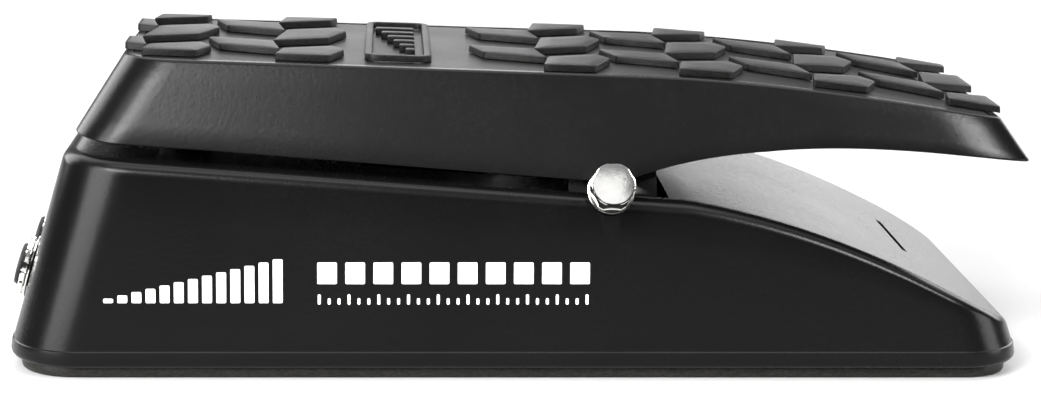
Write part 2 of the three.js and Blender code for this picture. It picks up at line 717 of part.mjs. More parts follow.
function addJacks() {
  toeGroup.position.set(toeWallX(jack.z), 0, jack.z);
  toeGroup.rotation.y = toeTilt;
  pedal.add(toeGroup);
  const half = jack.bodyHalf;
  ['output_jack', 'aux_jack', 'input_jack'].forEach((name, index) => {
    const y = (index - 1) * jack.spacing;
    const body = box(jack.bodyFront, jack.bodyBack, y - half, y + half, -half, half);
    const bushing = rod('x', jack.bushing, -jack.proud, jack.bodyFront + 1, [y, 0]);
    const bore = rod('x', jack.bore, -jack.proud - 1, jack.boreDepth, [y, 0]);
    piece(name, cut(join(body, bushing), bore), blackPlastic(), toeGroup);
    const washerFace = gap + jack.washerThickness;
    const washer = ring('x', jack.bushing + gap, jack.washer, -washerFace, -gap, [y, 0]);
    piece(`${name}_washer`, washer, chrome(), toeGroup);
    const nut = ring('x', jack.bushing + gap, jack.nut, -jack.nutFace, -washerFace - gap, [y, 0]);
    piece(`${name}_nut`, nut, chrome(), toeGroup);
  });
}

// A box on the circuit board, from its middle and half sizes, between two heights above the board.
function boardBox(x, y, halfX, halfY, low, high) {
  return box(x - halfX, x + halfX, y - halfY, y + halfY, boardTop + low, boardTop + high);
}

const boardTop = jack.bodyHalf + gap + circuitBoard.thickness;

function addCircuitBoard() {
  const { front, back, halfWidth, thickness } = circuitBoard;
  const sheet = box(front, back, -halfWidth, halfWidth, boardTop - thickness, boardTop);
  piece('circuit_board', sheet, board(), toeGroup);

  const { x, y, half, height } = trimmer;
  piece('trimmer_body', boardBox(x, y, half, half, gap, height), blackPlastic(), toeGroup);
  const dial = rod(
    'z', trimmer.dial, boardTop + height + gap, boardTop + trimmer.dialTop, [x, y], smallRound,
  );
  const driverSlot = boardBox(x, y, trimmer.slot, half, trimmer.slotBottom, height + half);
  piece('trimmer_dial', cut(dial, driverSlot), whitePlastic(), toeGroup);

  const { x: switchX, y: switchY, halfX, halfY, height: switchHeight } = modeSwitch;
  const switchBody = boardBox(switchX, switchY, halfX, halfY, gap, switchHeight);
  piece('mode_switch_body', switchBody, zincSteel(), toeGroup);
  const knob = box(
    switchX - slider.halfX, switchX + slider.halfX, switchY + slider.low, switchY + slider.high,
    boardTop + switchHeight + gap, boardTop + slider.top,
  );
  piece('mode_switch_slider', knob, blackPlastic(), toeGroup);
}

addBase();
addTreadle();
addPivot();
addDrive();
addJacks();
addCircuitBoard();

export default pedal;
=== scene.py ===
"""Looks of a compact volume pedal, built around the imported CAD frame. Lengths are in metres."""

import json
import math

import bmesh
import bpy
import numpy as np
from mathutils import Matrix, Vector


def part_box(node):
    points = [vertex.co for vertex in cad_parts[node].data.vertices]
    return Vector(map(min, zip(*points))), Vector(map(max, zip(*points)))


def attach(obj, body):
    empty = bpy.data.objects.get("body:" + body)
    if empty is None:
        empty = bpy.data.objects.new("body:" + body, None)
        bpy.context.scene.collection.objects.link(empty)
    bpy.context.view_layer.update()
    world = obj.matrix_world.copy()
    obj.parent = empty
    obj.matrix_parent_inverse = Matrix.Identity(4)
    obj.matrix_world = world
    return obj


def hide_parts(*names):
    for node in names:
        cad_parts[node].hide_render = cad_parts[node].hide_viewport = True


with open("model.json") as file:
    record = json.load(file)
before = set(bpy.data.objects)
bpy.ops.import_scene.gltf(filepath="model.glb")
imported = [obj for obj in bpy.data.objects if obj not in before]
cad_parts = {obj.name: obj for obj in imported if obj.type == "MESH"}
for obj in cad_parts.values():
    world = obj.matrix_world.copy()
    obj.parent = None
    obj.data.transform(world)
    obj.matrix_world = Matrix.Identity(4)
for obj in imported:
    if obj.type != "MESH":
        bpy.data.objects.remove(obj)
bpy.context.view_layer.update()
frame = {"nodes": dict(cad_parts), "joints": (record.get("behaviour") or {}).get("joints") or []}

MM = 0.001

# ------------------------------------------------------------------ driving dimensions

CLEAR = 0.3 * MM                      # gap left between pieces that touch
MERGE = 0.002 * MM                    # vertices closer than this are one
TINY = 0.001 * MM                     # edges shorter than this are none
PROBE = 0.1 * MM                      # step for measuring a surface's direction

joints = {joint["name"]: joint for joint in frame["joints"]}
hinge = Vector(joints["treadle_rock"]["pos_m"])

housing_low, housing_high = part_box("base_housing")

TOE_TILT = math.radians(16)           # the toe wall leans back, and the jacks stand square to it
SKIRT_ANGLE = math.radians(26)        # the treadle's sides lean in, and the bolts stand square to them
SKIRT_SLOPE = math.tan(SKIRT_ANGLE)

HOUSING = {
    "toe": housing_low.x, "heel": housing_high.x, "half_width": housing_high.y, "level": housing_low.z,
    "toe_lean": math.tan(TOE_TILT), "heel_lean": -math.tan(math.radians(18)),
    "side_lean": math.tan(math.radians(6)), "toe_radius": 15 * MM, "heel_radius": 12 * MM,
}
TREADLE = {
    "toe": -91 * MM, "heel": 105.3 * MM, "half_width": 43 * MM, "level": 40.4 * MM,
    "toe_level": 49.5 * MM, "heel_level": 43.8 * MM,
    "toe_lean": 0.64, "heel_lean": -0.66, "side_lean": SKIRT_SLOPE,
    "toe_radius": 11 * MM, "heel_radius": 4 * MM, "heel_reach": 14 * MM,
}
HOUSING_WALL = 3 * MM
SKIRT_WALL = 2.8 * MM
ROOF = 4 * MM
MAT_INSET = 2.1 * MM
MAT_RECESS = 1.9 * MM
MAT_TOP = -0.15 * MM                  # the mat's sheet, measured from the treadle's top line
BLOCK_TOP = 1.5 * MM                  # the raised blocks, measured from the same line
SPINE_OUTSIDE = 36 * MM               # how far a top surface's middle line stops short of its ends
SPINE_SHEET = 34 * MM                 # the same for the mat's sheet
SPINE_INSIDE = 32 * MM                # the same for a shell's inner surface


# ------------------------------------------------------------------ height lines

def quadratic(start, control, end, steps=40):
    """Points of a quadratic curve in a side view."""
    t = np.linspace(0, 1, steps)[:, None]
    start, control, end = (np.array(point, float) for point in (start, control, end))
    return (1 - t) ** 2 * start + 2 * t * (1 - t) * control + t ** 2 * end


def height_line(*parts):
    """Height as a function of x, from side-view points given in millimetres."""
    points = np.vstack([np.atleast_2d(part) for part in parts]) * MM

    def height(x):
        return np.interp(x, points[:, 0], points[:, 1])

    return height


deck_height = height_line(
    (-120, 47.5), quadratic((34.9, 36.4), (68, 30.9), (101.2, 10.9)), (110, 5.6),
)
top_height = height_line(
    (-110, 65.2), quadratic((28, 60.7), (60, 59.4), (104, 51.6)), (118, 49.1),
)
rim_height = height_line(
    (-110, 50.9), (-100, 49.7), (-83, 47.7), (-60, 46.2),
    quadratic((21, 40.3), (33, 45), (50, 46.2)),
    quadratic((51, 46.25), (72, 48.2), (105, 43.8)), (118, 42.2),
)


# ------------------------------------------------------------------ rounded shells

SMALLEST_CORNER = 0.2 * MM
FIRST_GUESS = 45 * MM                 # height where the search for a height line starts


class Outline:
    """A rounded rectangle that leans in as it rises, as columns that keep their place on it."""

    def __init__(self, size, side_steps=90, end_steps=14, corner_steps=12):
        self.size = size
        along, across, angle = [], [], []
        sides = np.linspace(0, 1, side_steps)[1:-1]
        ends = np.linspace(-1, 1, end_steps)[1:-1]

        def add(along_part, across_part, angle_part):
            count = max(np.size(along_part), np.size(across_part), np.size(angle_part))
            along.extend(np.broadcast_to(along_part, count))
            across.extend(np.broadcast_to(across_part, count))
            angle.extend(np.broadcast_to(np.radians(angle_part), count))

        turn = np.linspace(0, 90, corner_steps)
        add(0, -1, 180 + turn)
        add(sides, -1, 270)
        add(1, -1, 270 + turn)
        add(1, ends, 0)
        add(1, 1, turn)
        add(sides[::-1], 1, 90)
        add(0, 1, 90 + turn)
        add(0, -ends, 180)
        self.along = np.array(along)
        self.across = np.array(across)
        self.at_toe = self.along < 0.5
        self.cos = np.cos(angle)
        self.sin = np.sin(angle)
        _, heel_radius, heel_reach = self.corner(0)
        self.outward = unit(np.column_stack([
            self.cos * np.where(self.at_toe, 1, heel_radius / heel_reach), self.sin,
        ]))

    def corner(self, inset):
        """Corner sizes at an inset: the toe's radius, then the heel's across and along the outline."""
        size = self.size
        full_sizes = size["toe_radius"], size["heel_radius"], size.get("heel_reach", size["heel_radius"])
        return [max(full - inset, SMALLEST_CORNER) for full in full_sizes]

    def at(self, z, inset=0.0):
        """The outline's points at height z, one height for each column or one for all."""
        size = self.size
        z = np.broadcast_to(z, self.cos.shape)
        toe = size["toe"] + (z - size.get("toe_level", size["level"])) * size["toe_lean"] + inset
        heel = size["heel"] + (z - size.get("heel_level", size["level"])) * size["heel_lean"] - inset
        half = size["half_width"] - (z - size["level"]) * size["side_lean"] - inset
        toe_radius, heel_radius, heel_reach = self.corner(inset)
        radius = np.where(self.at_toe, toe_radius, heel_radius)
        reach = np.where(self.at_toe, toe_radius, heel_reach)
        x = (1 - self.along) * (toe + toe_radius) + self.along * (heel - heel_reach) + reach * self.cos
        y = self.across * (half - radius) + radius * self.sin
        return np.column_stack([x, y, z])

    def on(self, height, inset=0.0, lift=0.0):
        """The outline's points where it meets a height line."""
        z = np.full(self.cos.shape, FIRST_GUESS)
        for _ in range(40):
            z = height(self.at(z, inset)[:, 0]) + lift
        return self.at(z, inset)

    def inward(self, points, height):
        """Unit directions from the points along the height line's surface, away from the wall."""
        rise = (height(points[:, 0] - self.outward[:, 0] * PROBE) - height(points[:, 0])) / PROBE
        return unit(np.column_stack([-self.outward, rise]))

    def downward(self, points, inset=0.0):
        """Unit directions from the points down along the wall."""
        return unit(self.at(points[:, 2] - PROBE, inset) - self.at(points[:, 2], inset))


def unit(vectors):
    return vectors / np.linalg.norm(vectors, axis=1)[:, None]


def fillet(corner, first, second, radius, steps=6):
    """Rings that round the corner between two directions, from the first side to the second."""
    opening = np.arccos(np.clip((first * second).sum(1), -1, 1))
    reach = (radius / np.tan(opening / 2))[:, None]
    weight = np.sin(opening / 2)[:, None]
    start, end = corner + first * reach, corner + second * reach
    rings = []
    for t in np.linspace(0, 1, steps):
        low, middle, high = (1 - t) ** 2, 2 * t * (1 - t), t ** 2
        total = low + middle * weight + high
        rings.append((low * start + middle * weight * corner + high * end) / total)
    return rings


def to_spine(ring, height, lift, spine_inset, shares=(0.04, 0.12, 0.3, 0.6, 1.0)):
    """Rings that close a top surface from an edge ring to its middle line."""
    low, high = ring[:, 0].min() + spine_inset, ring[:, 0].max() - spine_inset
    spine = np.column_stack([np.clip(ring[:, 0], low, high), np.zeros(len(ring))])
    rings = []
    for share in shares:
        flat = ring[:, :2] * (1 - share) + spine * share
        rings.append(np.column_stack([flat, height(flat[:, 0]) + lift]))
    return rings


def blend_rings(first, last, shares):
    return [first * (1 - share) + last * share for share in shares]


def skin(bm, rows, closed=False):
    """Four-sided faces between rows of vertices; closed joins the last row to the first."""
    pairs = list(zip(rows, rows[1:]))
    if closed:
        pairs.append((rows[-1], rows[0]))
    for low, high in pairs:
        for i in range(len(low)):
            j = (i + 1) % len(low)
            bm.faces.new((low[i], low[j], high[j], high[i]))


def add_rings(bm, rings):
    rows = [[bm.verts.new(point) for point in ring] for ring in rings]
    skin(bm, rows)
    bmesh.ops.remove_doubles(bm, verts=bm.verts, dist=MERGE)
    bmesh.ops.dissolve_degenerate(bm, edges=bm.edges, dist=TINY)


def surface(name, rings):
    bm = bmesh.new()
    add_rings(bm, rings)
    return new_object(name, bm)


# ------------------------------------------------------------------ mesh helpers

def new_object(name, bm):
    bmesh.ops.recalc_face_normals(bm, faces=bm.faces)
    mesh = bpy.data.meshes.new(name)
    bm.to_mesh(mesh)
    bm.free()
    obj = bpy.data.objects.new(name, mesh)
    bpy.context.scene.collection.objects.link(obj)
    return obj


def box(low, high):
    bm = bmesh.new()
    bmesh.ops.create_cube(bm, size=1)
    low, high = Vector(low), Vector(high)
    for vert in bm.verts:
        vert.co = Vector(low[i] + (vert.co[i] + 0.5) * (high[i] - low[i]) for i in range(3))
    return new_object("tool", bm)


def lathe(name, profile, place, sides=64):
    """A turned solid: profile holds (radius, height) pairs, and place moves its +Z axis."""
    bm = bmesh.new()
    rows = []
    for radius, height in profile:
        turn = [2 * math.pi * step / sides for step in range(sides)]
        rows.append([bm.verts.new((radius * math.cos(a), radius * math.sin(a), height)) for a in turn])
    skin(bm, rows, closed=True)
    bmesh.ops.remove_doubles(bm, verts=bm.verts, dist=TINY)
    bmesh.ops.dissolve_degenerate(bm, edges=bm.edges, dist=TINY)
    bm.transform(place)
    return new_object(name, bm)


def plug(radius, low, high, place, sides=64):
    """A round solid between two heights, to cut with or to add."""
    return lathe("tool", [(0, low), (radius, low), (radius, high), (0, high)], place, sides)


def combine(obj, tools, operation):
    """Applies a boolean with each tool and removes the tools."""
    for tool in tools:
        modifier = obj.modifiers.new("cut", "BOOLEAN")
        modifier.operation = operation
        modifier.solver = "EXACT"
        modifier.object = tool
    bake_modifiers(obj)
    for tool in tools:
        bpy.data.objects.remove(tool)
    return obj


def bake_modifiers(obj):
    bpy.context.view_layer.update()
    evaluated = obj.evaluated_get(bpy.context.evaluated_depsgraph_get())
    mesh = bpy.data.meshes.new_from_object(evaluated)
    obj.modifiers.clear()
    obj.data = mesh


def bevel(obj, width, segments=2, angle=35):
    modifier = obj.modifiers.new("edges", "BEVEL")
    modifier.width = width
    modifier.segments = segments
    modifier.limit_method = "ANGLE"
    modifier.angle_limit = math.radians(angle)
    modifier.use_clamp_overlap = True
    bake_modifiers(obj)
    return obj


def finish_piece(obj, name, body, look, nodes=(), smooth=35):
    obj.name = name
    obj.data.name = name
    obj.data.shade_smooth()
    obj.data.set_sharp_from_angle(angle=math.radians(smooth))
    obj.data.materials.clear()
    obj.data.materials.append(look)
    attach(obj, body)
    if nodes:
        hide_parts(*nodes)
    return obj


def along_axis(origin, axis):
    """Places a solid made on +Z so that it runs along an axis through a point."""
    return Matrix.Translation(origin) @ Vector(axis).to_track_quat("Z", "Y").to_matrix().to_4x4()


hinge_axis = along_axis(Vector((hinge.x, 0, hinge.z)), (0, 1, 0))


def on_skirt(side):
    """A place on the treadle's side at the hinge, with +Z square out of the skirt."""
    reach = TREADLE["half_width"] + (TREADLE["level"] - hinge.z) * SKIRT_SLOPE
    outward = Vector((0, side * math.cos(SKIRT_ANGLE), math.sin(SKIRT_ANGLE)))
    return along_axis(Vector((hinge.x, side * reach, hinge.z)), outward)


# ------------------------------------------------------------------ materials

class Nodes:
    """Short names for the shader nodes that the materials share."""

    def __init__(self, name):
        self.material = bpy.data.materials.new(name)
        self.material.use_nodes = True
        self.tree = self.material.node_tree
        self.shader = self.tree.nodes["Principled BSDF"]
        self.where = self.add("ShaderNodeTexCoord").outputs["Object"]

    def add(self, kind, **settings):
        node = self.tree.nodes.new(kind)
        for key, value in settings.items():
            setattr(node, key, value)
        return node

    def link(self, start, end):
        self.tree.links.new(start, end)

    def noise(self, scale, detail=4.0, stretch=None):
        node = self.add("ShaderNodeTexNoise")
        node.inputs["Scale"].default_value = scale
        node.inputs["Detail"].default_value = detail
        node.inputs["Roughness"].default_value = 0.55
        where = self.where
        if stretch:
            mapping = self.add("ShaderNodeMapping")
            mapping.inputs["Scale"].default_value = stretch
            self.link(self.where, mapping.inputs["Vector"])
            where = mapping.outputs["Vector"]
        self.link(where, node.inputs["Vector"])
        return node.outputs["Fac"]

    def ramp(self, value, *stops):
        node = self.add("ShaderNodeValToRGB")
        elements = node.color_ramp.elements
        while len(elements) < len(stops):
            elements.new(0.5)
        for element, (place, color) in zip(elements, stops):
            element.position = place
            element.color = (*color, 1)
        self.link(value, node.inputs["Fac"])
        return node.outputs["Color"]

    def span(self, value, low, high):
        node = self.add("ShaderNodeMapRange")
        node.inputs["To Min"].default_value = low
        node.inputs["To Max"].default_value = high
        self.link(value, node.inputs["Value"])
        return node.outputs["Result"]

    def mix(self, share, first, second):
        node = self.add("ShaderNodeMix", data_type="RGBA")
        self.link(share, node.inputs["Factor"])
        for socket, value in ((node.inputs[6], first), (node.inputs[7], second)):
            if isinstance(value, tuple):
                socket.default_value = (*value, 1)
            else:
                self.link(value, socket)
        return node.outputs[2]

    def math(self, operation, first, second):
        node = self.add("ShaderNodeMath", operation=operation)
        for socket, value in zip(node.inputs, (first, second)):
            if isinstance(value, (int, float)):
                socket.default_value = value
            else:
                self.link(value, socket)
        return node.outputs[0]

    def bump(self, *layers):
        """Each layer is (height output, distance in metres)."""
        normal = None
        for height, distance in layers:
            node = self.add("ShaderNodeBump")
            node.inputs["Strength"].default_value = 1
            node.inputs["Distance"].default_value = distance
            self.link(height, node.inputs["Height"])
            if normal:
                self.link(normal, node.inputs["Normal"])
            normal = node.outputs["Normal"]
        self.link(normal, self.shader.inputs["Normal"])

    def set(self, metallic, specular=0.5):
        self.shader.inputs["Metallic"].default_value = metallic
        self.shader.inputs["Specular IOR Level"].default_value = specular


def powder_coat(name, base, sheen_base):
    """Satin black powder coat: fine orange peel, faint dust and slow gloss changes."""
    nodes = Nodes(name)
    cloud = nodes.noise(38, detail=3)
    grain = nodes.noise(900, detail=3)
    nodes.link(nodes.mix(cloud, base, sheen_base), nodes.shader.inputs["Base Color"])
    gloss = nodes.math("ADD", nodes.span(cloud, -0.03, 0.03), nodes.span(grain, 0.22, 0.3))
    nodes.link(gloss, nodes.shader.inputs["Roughness"])
    nodes.bump((nodes.noise(1150, detail=2), 0.016 * MM), (grain, 0.008 * MM))
    nodes.set(metallic=0, specular=0.15)
    return nodes.material


def moulded_rubber(name, base, light):
    """Black rubber with a fine grain and pale speckles of dust."""
    nodes = Nodes(name)
    cloud = nodes.noise(60, detail=5)
    speck = nodes.noise(1900, detail=3, stretch=(0.6, 1, 1))
    grains = nodes.ramp(speck, (0.38, (0, 0, 0)), (0.66, (1, 1, 1)))
    dusty = nodes.math("MULTIPLY", nodes.span(cloud, 0.35, 1.0), grains)
    nodes.link(nodes.mix(dusty, base, light), nodes.shader.inputs["Base Color"])
    nodes.link(nodes.span(cloud, 0.36, 0.5), nodes.shader.inputs["Roughness"])
    nodes.bump((nodes.noise(700, detail=4), 0.04 * MM), (speck, 0.07 * MM))
    nodes.set(metallic=0, specular=0.15)
    return nodes.material


def bright_metal(name, base, dull, rough_low, rough_high, brush=(1, 1, 1)):
    """Plated or machined metal with faint marks, brushed along one axis if asked."""
    nodes = Nodes(name)
    smudge = nodes.noise(300, detail=5)
    lines = nodes.noise(900, detail=4, stretch=brush)
    nodes.link(nodes.mix(smudge, base, dull), nodes.shader.inputs["Base Color"])
    nodes.link(nodes.span(smudge, rough_low, rough_high), nodes.shader.inputs["Roughness"])
    nodes.bump((lines, 0.006 * MM), (smudge, 0.025 * MM))
    nodes.set(metallic=1)
    return nodes.material


def moulded_plastic(name, base, light):
    """Moulded plastic with a faint cloud in its colour and gloss."""
    nodes = Nodes(name)
    cloud = nodes.noise(200, detail=3)
    nodes.link(nodes.mix(cloud, base, light), nodes.shader.inputs["Base Color"])
    nodes.link(nodes.span(cloud, 0.35, 0.5), nodes.shader.inputs["Roughness"])
    nodes.bump((nodes.noise(1200, detail=2), 0.008 * MM))
    nodes.set(metallic=0, specular=0.25)
    return nodes.material


def screen_print(name):
    """White screen print with slightly uneven ink."""
    nodes = Nodes(name)
    ink = nodes.noise(700, detail=4)
    colour = nodes.mix(ink, (0.66, 0.66, 0.65), (0.74, 0.74, 0.74))
    nodes.link(colour, nodes.shader.inputs["Base Color"])
    nodes.link(nodes.span(ink, 0.45, 0.6), nodes.shader.inputs["Roughness"])
    nodes.bump((ink, 0.01 * MM))
    return nodes.material


LOOKS = {
    "paint": powder_coat("black_powder_coat", (0.0015, 0.0015, 0.0015), (0.0032, 0.0031, 0.003)),
    "block_paint": powder_coat("block_paint", (0.002, 0.002, 0.002), (0.004, 0.0038, 0.0035)),
    "rubber": moulded_rubber("tread_rubber", (0.002, 0.002, 0.002), (0.009, 0.009, 0.0085)),
    "bumper_rubber": moulded_rubber("bumper_rubber", (0.012, 0.012, 0.011), (0.035, 0.034, 0.03)),
    "chrome": bright_metal("chrome_plate", (0.86, 0.86, 0.85), (0.7, 0.69, 0.67), 0.06, 0.2),
    "steel": bright_metal("zinc_plate", (0.62, 0.62, 0.63), (0.5, 0.5, 0.49), 0.25, 0.42),
    "spring_steel": bright_metal(
        "spring_steel", (0.66, 0.66, 0.67), (0.55, 0.55, 0.56), 0.18, 0.3, (1, 12, 1),
    ),
    "bronze": bright_metal("sintered_bronze", (0.5, 0.33, 0.15), (0.36, 0.23, 0.1), 0.35, 0.5),
    "aluminium": bright_metal(
        "machined_aluminium", (0.7, 0.71, 0.72), (0.6, 0.6, 0.61), 0.28, 0.42, (1, 14, 1),
    ),
    "black_plastic": moulded_plastic("black_plastic", (0.012, 0.012, 0.013), (0.03, 0.03, 0.031)),
    "white_plastic": moulded_plastic("white_plastic", (0.7, 0.69, 0.65), (0.8, 0.79, 0.76)),
    "board": moulded_plastic("solder_mask", (0.01, 0.09, 0.03), (0.02, 0.13, 0.05)),
}
PRINT = screen_print("white_print")


# ------------------------------------------------------------------ base housing

HOUSING_EDGE = 3.2 * MM               # rounding between the deck and the walls
FOOT_EDGE = 1.4 * MM                  # rounding at the bottom edge
FOOT_BAND = 3.6 * MM                  # height of the band round the foot
FOOT_STEP = 0.22 * MM                 # the band stands this far out
SLOT = {"x": 85.2 * MM, "half_width": 0.6 * MM, "half_length": 15 * MM, "low": 12 * MM, "high": 40 * MM}
BLOCK = {"toe": 8.2 * MM, "heel": 9.8 * MM, "outer": 39.9 * MM, "bottom": 29.7 * MM}
POCKET_ROOM = 2.5 * MM                # room between a pivot block and the heel end of its pocket
POCKET_RADIUS = 1.2 * MM
OPENING = {"toe": -32 * MM, "heel": 31.1 * MM, "half_width": 28.5 * MM}
CUT_TOP = 60 * MM                     # cuts from above start here
BOLT_RELIEF = {"radius": 4.6 * MM, "low": -9 * MM, "high": 6 * MM}
JACK_HOLE = {"radius": 4.8 * MM, "low": -6 * MM, "high": 6 * MM}
SCREW_HOLE = {"radius": 3.6 * MM, "low": -MM, "high": 4 * MM}
BOTTOM_MAT_INSET = 2.6 * MM
BOTTOM_MAT_SPINE = 60 * MM            # half the length of the mat's middle line


def housing_shell():
    """The casting's outside with its band round the foot, and its inside."""
    outline = Outline(HOUSING)
    level = HOUSING["level"]
    foot = outline.at(level)
    band_top = outline.at(level + FOOT_BAND)
    band_outer = outline.at(level + FOOT_BAND, -FOOT_STEP)
    up = unit(outline.at(level + MM) - foot)
    inward = unit(outline.at(level, MM) - foot)
    top = outline.on(deck_height)
    top_rings = fillet(top, outline.downward(top), outline.inward(top, deck_height), HOUSING_EDGE, 9)
    wall = blend_rings(band_top + up * 0.35 * MM, top_rings[0], (0, 0.25, 0.5, 0.75))
    outside = [
        outline.at(level, HOUSING_WALL), *fillet(foot, inward, up, FOOT_EDGE, 6)[:-1],
        band_outer - up * 0.5 * MM, band_outer - up * 0.12 * MM, band_top + up * 0.1 * MM,
        *wall, *top_rings, *to_spine(top_rings[-1], deck_height, 0, SPINE_OUTSIDE),
    ]
    inner_top = outline.on(deck_height, HOUSING_WALL, -HOUSING_WALL)
    inside = [
        *to_spine(inner_top, deck_height, -HOUSING_WALL, SPINE_INSIDE)[::-1], inner_top,
        outline.at(level + MM, HOUSING_WALL),
    ]
    return surface("housing", inside + outside)


def housing_cuts():
    """Tools for the pivot blocks' pocket, the deck's opening and slot, the bolts and the jacks."""
    floor = BLOCK["bottom"] - CLEAR
    reach = BLOCK["outer"] + CLEAR
    pocket = box(
        (hinge.x - BLOCK["toe"] - CLEAR, -reach, floor),
        (hinge.x + BLOCK["heel"] + POCKET_ROOM, reach, CUT_TOP),
    )
    bevel(pocket, POCKET_RADIUS, 6)
    opening = box(
        (OPENING["toe"], -OPENING["half_width"], floor), (OPENING["heel"], OPENING["half_width"], CUT_TOP),
    )
    slot = box(
        (SLOT["x"] - SLOT["half_width"], -SLOT["half_length"], SLOT["low"]),
        (SLOT["x"] + SLOT["half_width"], SLOT["half_length"], SLOT["high"]),
    )
    reliefs = [plug(**BOLT_RELIEF, place=on_skirt(side)) for side in (-1, 1)]
    holes = [plug(**JACK_HOLE, place=jack_place(y)) for y in JACK_ROW.values()]
    return [pocket, opening, slot, *reliefs, *holes]


def add_housing():
    shell = combine(housing_shell(), housing_cuts(), "DIFFERENCE")
    finish_piece(shell, "housing_shell", "base", LOOKS["paint"], ["base_housing"])


def screw_hole(index):
    low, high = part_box(f"base_plate_screw_{index}")
    middle = (low + high) / 2
    return plug(**SCREW_HOLE, place=Matrix.Translation((middle.x, middle.y, 0)))


def add_bottom_mat():
    """The rubber mat under the housing, with rounded edges and a hole under each screw."""
    outline = Outline(HOUSING)
    low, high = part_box("bottom_mat")
    level = HOUSING["level"]
    edge = outline.at(level, BOTTOM_MAT_INSET)
    rings = []
    for z, pull in (
        (low.z, 1.2), (low.z, 0.5), (low.z + 0.15 * MM, 0.2), (low.z + 0.5 * MM, 0),
        (high.z - 0.4 * MM, 0), (high.z - 0.1 * MM, 0.12), (high.z, 0.4), (high.z, 1.2),
    ):
        ring = outline.at(level, BOTTOM_MAT_INSET + pull * MM)
        ring[:, 2] = z
        rings.append(ring)
    spine_x = np.clip(edge[:, 0], -BOTTOM_MAT_SPINE, BOTTOM_MAT_SPINE)
    spine = np.column_stack([spine_x, np.zeros(len(edge))])
    bottom = np.column_stack([spine, np.full(len(edge), low.z)])
    lid = np.column_stack([spine, np.full(len(edge), high.z)])
    mat = surface("mat", [bottom, *rings, lid])
    combine(mat, [screw_hole(index) for index in range(1, 5)], "DIFFERENCE")
    finish_piece(mat, "bottom_mat_rubber", "base", LOOKS["bumper_rubber"], ["bottom_mat"])


# ------------------------------------------------------------------ treadle

TOP_EDGE = 1.1 * MM
RIM_EDGE = 0.3 * MM
RIBS = {"places": (-70 * MM, 78 * MM), "half": 3 * MM, "bottom": 50.3 * MM, "top": 70 * MM, "reach": 50 * MM}
SECTOR_BOSS = {"radius": 3.6 * MM, "low": 54.5 * MM, "high": 58.5 * MM}
SECTOR_BOSS_PLACES = (-6 * MM, 10 * MM)
EAR = {"inner": 18.3 * MM, "outer": 27.7 * MM, "radius": 8 * MM, "top": 59 * MM}
EAR_BORE = {"radius": 4.6 * MM, "low": -30 * MM, "high": 30 * MM}
NOTCH = {"radius": 5.1 * MM, "low": -8 * MM, "high": 8 * MM}
CORE = {"low": 30 * MM, "spine": 50 * MM, "lift": 0.8 * MM}


def treadle_shell():
    """The casting: skirts with a rounded rim, a top with a recess for the mat, and the cavity."""
    outline = Outline(TREADLE)
    rim = outline.on(rim_height)
    inner_rim = outline.on(rim_height, SKIRT_WALL)
    up = -outline.downward(rim)
    across = unit(inner_rim - rim)
    top = outline.on(top_height)
    down = outline.downward(top)
    top_rings = fillet(top, down, outline.inward(top, top_height), TOP_EDGE, 7)
    rim_rings = fillet(rim, across, up, RIM_EDGE, 6)
    inset = MAT_INSET - CLEAR
    lip = outline.on(top_height, inset)
    recess = outline.on(top_height, inset, -MAT_RECESS)
    inner_top = outline.on(top_height, SKIRT_WALL, -ROOF)
    rings = [
        *to_spine(inner_top, top_height, -ROOF, SPINE_INSIDE)[::-1], inner_top,
        inner_rim + (inner_top - inner_rim) * 0.04, inner_rim - across * 0.4 * MM,
        *rim_rings,
        *blend_rings(rim_rings[-1], top_rings[0], (0.25, 0.5, 0.75)),
        *top_rings, lip, lip + (recess - lip) * 0.2, recess,
        *to_spine(recess, top_height, -MAT_RECESS, SPINE_OUTSIDE),
    ]
    return surface("treadle", rings)


def treadle_core():
    """The cavity's outline, grown into the wall, for trimming what stands inside it."""
    outline = Outline(TREADLE, side_steps=40)
    inset = SKIRT_WALL / 2
    lift = CORE["lift"] - ROOF
    low = outline.at(CORE["low"], inset)
    roof = outline.on(top_height, inset, lift)
    spine_x = np.clip(low[:, 0], -CORE["spine"], CORE["spine"])
    floor = np.column_stack([spine_x, np.zeros(len(low)), low[:, 2]])
    return surface("core", [floor, low, roof, *to_spine(roof, top_height, lift, SPINE_INSIDE)])


def rib(x):
    low = (x - RIBS["half"], -RIBS["reach"], RIBS["bottom"])
    high = (x + RIBS["half"], RIBS["reach"], RIBS["top"])
    return combine(box(low, high), [treadle_core()], "INTERSECT")


def ear(side):
    """One of the two lugs under the treadle's roof that hold the axle's bushings."""
    radius = EAR["radius"]
    low, high = sorted((side * EAR["inner"], side * EAR["outer"]))
    upright = box((hinge.x - radius, low, hinge.z), (hinge.x + radius, high, EAR["top"]))
    return combine(upright, [plug(radius, low, high, hinge_axis)], "UNION")


def add_treadle():
    ribs = [rib(x) for x in RIBS["places"]]
    bosses = [plug(**SECTOR_BOSS, place=Matrix.Translation((x, 0, 0))) for x in SECTOR_BOSS_PLACES]
    shell = combine(treadle_shell(), [*ribs, *bosses, ear(-1), ear(1)], "UNION")
    tools = [plug(**NOTCH, place=on_skirt(side)) for side in (-1, 1)]
    tools.append(plug(**EAR_BORE, place=hinge_axis))
    combine(shell, tools, "DIFFERENCE")
    finish_piece(shell, "treadle_shell", "treadle", LOOKS["paint"], ["treadle"])


# ------------------------------------------------------------------ tread mat

